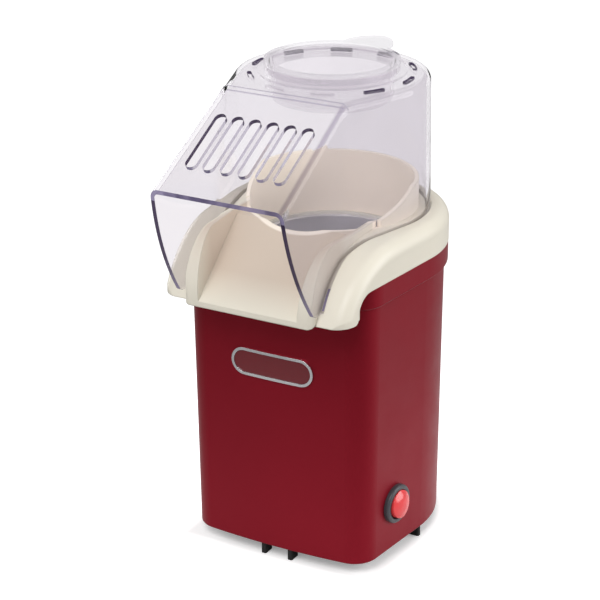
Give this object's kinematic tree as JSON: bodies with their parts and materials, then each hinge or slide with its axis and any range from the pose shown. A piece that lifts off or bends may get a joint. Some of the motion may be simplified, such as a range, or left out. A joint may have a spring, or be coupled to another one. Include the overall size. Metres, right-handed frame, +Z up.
{
  "type": "popcorn maker",
  "caption": "Upright hot-air popcorn maker: red round-backed housing, cream collar with a pouring chute, clear lift-off hood with a slotted slope and a measuring cup on top.",
  "frame": {"origin": "on the table, under the axis of the popping chamber", "axes": "+Z up, -Y towards the chute, +X towards the switch"},
  "size_m": [0.1384, 0.1989, 0.2921],
  "materials": {
    "red_plastic": "satin moulded red with a fine texture",
    "cream_plastic": "smooth cream moulding",
    "clear_plastic": "clear polycarbonate",
    "aluminium": "drawn aluminium",
    "seal_rubber": "soft silicone",
    "steel_sheet": "bright sheet steel",
    "mica": "mica board",
    "coil_wire": "resistance wire",
    "black_plastic": "matt black moulding",
    "fan_plastic": "heat-proof dark plastic",
    "magnet": "ferrite",
    "rotor_steel": "ground steel",
    "brass": "bright brass",
    "board": "green laminate",
    "screw_steel": "zinc-plated steel",
    "rocker_red": "translucent red",
    "thermostat_body": "ceramic white",
    "white_plastic": "white moulding",
    "badge_metal": "bright rim",
    "badge_face": "enamelled red",
    "black_rubber": "black rubber",
    "wire_cover": "insulated wire"
  },
  "bodies": {
    "stand": {"badge_plate": "badge_face", "badge_rim": "badge_metal", "base_plate": "black_plastic", "base_screws": "screw_steel", "chamber_seal": "seal_rubber", "collar": "cream_plastic", "collar_screws": "screw_steel", "cord_gland": "black_plastic", "duct_screws": "screw_steel", "fan_housing": "black_plastic", "foot_front_left": "black_rubber", "foot_front_right": "black_rubber", "foot_rear_left": "black_rubber", "foot_rear_right": "black_rubber", "foot_side_left": "black_rubber", "foot_side_right": "black_rubber", "heater_duct": "steel_sheet", "heating_coil": "coil_wire", "housing": "red_plastic", "mica_card_cross": "mica", "mica_card_long": "mica", "motor_bush": "brass", "motor_can": "steel_sheet", "motor_end_cap": "black_plastic", "motor_magnets": "magnet", "motor_screws": "screw_steel", "popping_chamber": "aluminium", "rear_panel": "red_plastic", "rectifier_board": "board", "rectifier_diodes": "black_plastic", "switch_body": "black_plastic", "switch_pivot": "screw_steel", "switch_terminals": "brass", "terminal_block": "white_plastic", "thermal_fuse": "thermostat_body", "thermostat": "thermostat_body", "thermostat_bracket": "steel_sheet", "wire_block_board": "wire_cover", "wire_block_switch": "wire_cover", "wire_switch_thermostat": "wire_cover"},
    "fan": {"motor_shaft": "rotor_steel", "motor_rotor": "rotor_steel", "fan_impeller": "fan_plastic"},
    "hood": {"hood": "clear_plastic"},
    "cup": {"measuring_cup": "clear_plastic"},
    "rocker": {"switch_rocker": "rocker_red"}
  },
  "joints": [
    {"name": "fan_spin", "type": "hinge", "parent": "stand", "child": "fan", "pos_m": [0, 0, 0.06], "axis": [0, 0, 1], "continuous": true},
    {"name": "hood_lift", "type": "slide", "parent": "stand", "child": "hood", "axis": [0, 0, 1], "range_m": [0, 0.08]},
    {"name": "cup_lift", "type": "slide", "parent": "hood", "child": "cup", "axis": [0, 0, 1], "range_m": [0, 0.04]},
    {"name": "switch_rock", "type": "hinge", "parent": "stand", "child": "rocker", "pos_m": [0.06209, -0.0358, 0.0364], "axis": [0.1045, 0.9945, 0], "range_deg": [0, 14]}
  ]
}
